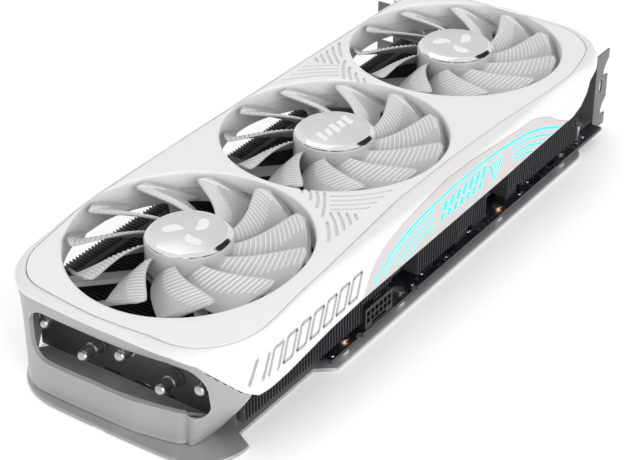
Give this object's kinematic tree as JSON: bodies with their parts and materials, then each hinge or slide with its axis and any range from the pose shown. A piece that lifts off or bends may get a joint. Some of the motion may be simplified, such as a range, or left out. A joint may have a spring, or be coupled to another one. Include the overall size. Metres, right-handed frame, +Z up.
{
  "type": "graphics card",
  "caption": "Long triple-fan graphics card with a white shroud, finned cooler on heat pipes, backplate, edge connector and two-slot bracket.",
  "frame": {"origin": "centre of the overall box's underside, under the backplate", "axes": "+X from the tail to the bracket, +Y towards the edge connector, +Z up through the fans"},
  "size_m": [0.3184, 0.1316, 0.057],
  "materials": {
    "white_shell": "satin",
    "gloss_white": "gloss",
    "panel": "satin",
    "light_board": "satin",
    "grey_shell": "satin",
    "grey_plate": "satin",
    "board": "satin",
    "gold": "polished",
    "silicon": "gloss",
    "chip": "satin",
    "pad": "matte",
    "choke": "matte",
    "capacitor": "satin",
    "black_plastic": "satin",
    "socket_metal": "satin",
    "black_metal": "satin",
    "screw_steel": "satin",
    "nickel": "satin",
    "black_fins": "satin",
    "stator": "satin",
    "bronze": "satin",
    "screw_black": "satin",
    "spring_steel": "satin",
    "fan_plastic": "satin",
    "cap_metal": "brushed",
    "magnet": "matte",
    "shaft_steel": "polished"
  },
  "bodies": {
    "card": {"shroud_face": "white_shell", "shroud_band": "gloss_white", "light_panel": "panel", "light_board": "light_board", "tail_cap": "grey_shell", "backplate": "grey_plate", "circuit_board": "board", "contact_fingers": "gold", "processor_package": "board", "processor_die": "silicon", "memory_chips": "chip", "thermal_pads": "pad", "power_chokes": "choke", "power_stages": "chip", "board_capacitors": "capacitor", "power_socket": "black_plastic", "power_pins": "gold", "small_headers": "black_plastic", "video_sockets": "socket_metal", "video_tongues": "black_plastic", "io_bracket": "black_metal", "bracket_screws": "screw_steel", "bracket_post": "screw_steel", "cold_plate": "nickel", "cooler_frame": "black_metal", "fin_end_plate": "black_metal", "fin_stack_tail": "black_fins", "fin_stack_middle": "black_fins", "fin_stack_head": "black_fins", "fan_stators": "stator", "fan_bearings": "bronze", "fan_screws": "screw_black", "shroud_screws": "screw_black", "board_screws": "screw_steel", "cooler_screws": "screw_steel", "cooler_springs": "spring_steel", "heat_pipe_1": "nickel", "heat_pipe_2": "nickel", "heat_pipe_3": "nickel", "heat_pipe_4": "nickel", "heat_pipe_5": "nickel", "fan_1_frame": "grey_shell", "fan_2_frame": "grey_shell", "fan_3_frame": "grey_shell"},
    "fan_1": {"fan_1_rotor": "fan_plastic", "fan_1_cap": "cap_metal", "fan_1_magnet": "magnet", "fan_1_shaft": "shaft_steel"},
    "fan_2": {"fan_2_rotor": "fan_plastic", "fan_2_cap": "cap_metal", "fan_2_magnet": "magnet", "fan_2_shaft": "shaft_steel"},
    "fan_3": {"fan_3_rotor": "fan_plastic", "fan_3_cap": "cap_metal", "fan_3_magnet": "magnet", "fan_3_shaft": "shaft_steel"}
  },
  "joints": [
    {"name": "fan_1_spin", "type": "hinge", "parent": "card", "child": "fan_1", "pos_m": [-0.0992, -0.00825, 0.045], "axis": [0, 0, 1], "continuous": true},
    {"name": "fan_2_spin", "type": "hinge", "parent": "card", "child": "fan_2", "pos_m": [-0.0022, -0.00825, 0.045], "axis": [0, 0, 1], "continuous": true},
    {"name": "fan_3_spin", "type": "hinge", "parent": "card", "child": "fan_3", "pos_m": [0.0948, -0.00825, 0.045], "axis": [0, 0, 1], "continuous": true}
  ]
}
